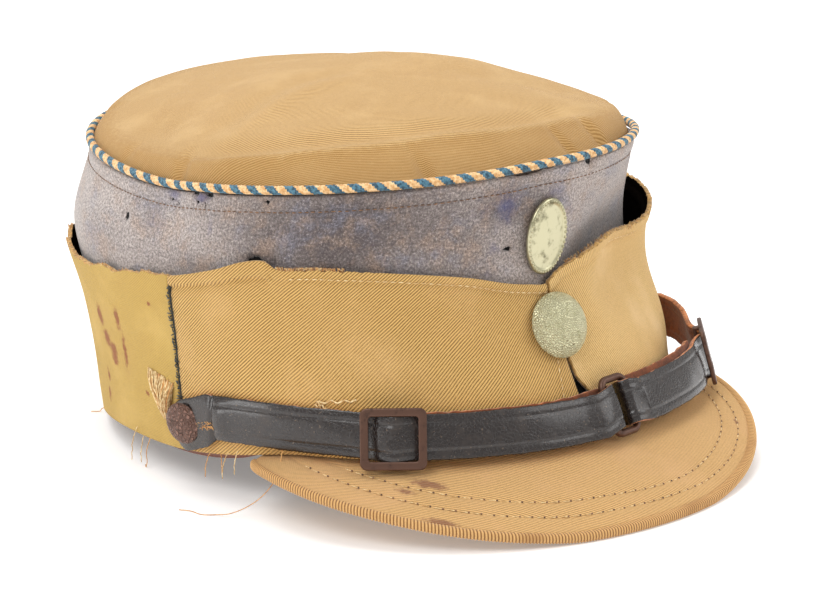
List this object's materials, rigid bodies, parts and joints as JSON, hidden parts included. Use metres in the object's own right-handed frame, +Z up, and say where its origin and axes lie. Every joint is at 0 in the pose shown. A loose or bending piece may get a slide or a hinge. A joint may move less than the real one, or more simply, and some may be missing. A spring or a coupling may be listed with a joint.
{
  "type": "kepi cap",
  "caption": "Worn cloth kepi with a soft crown, corded seam, wool band, turned-up curtain, stiff bound peak and a buckled leather chin strap.",
  "frame": {"origin": "on the surface the cap stands on, under the middle of its bounding box", "axes": "+Z up, -Y towards the front (the peak), -X towards the wearer's right; the cap rests on the back of its hem and the tip of its peak"},
  "size_m": [0.1862, 0.2556, 0.1232],
  "materials": {
    "felt": "grey wool band cloth, milled and matt, stained",
    "twill": "tan cotton twill, matt",
    "back_twill": "yellow-olive cotton twill, matt, stained",
    "cord": "two-colour twisted cord, cream and teal",
    "binding": "ribbed cotton tape",
    "strap_leather": "dark brown finished leather, semi-gloss, creased",
    "band_leather": "red-brown sweatband leather",
    "brown_metal": "brown lacquered metal, worn",
    "nickel": "pebbled pale grey-white metal, tarnished"
  },
  "bodies": {
    "root": {"crown_top": "twill", "crown_band": "felt", "piping": "cord", "curtain_right": "twill", "curtain_left": "twill", "curtain_back": "back_twill", "peak": "twill", "peak_binding": "binding", "sweatband": "band_leather", "strap_right": "strap_leather", "strap_left": "strap_leather", "slider_right": "brown_metal", "slider_left": "brown_metal", "link_ring": "brown_metal", "side_button_right": "brown_metal", "side_button_left": "brown_metal", "front_button": "nickel", "badge": "nickel"}
  },
  "joints": []
}
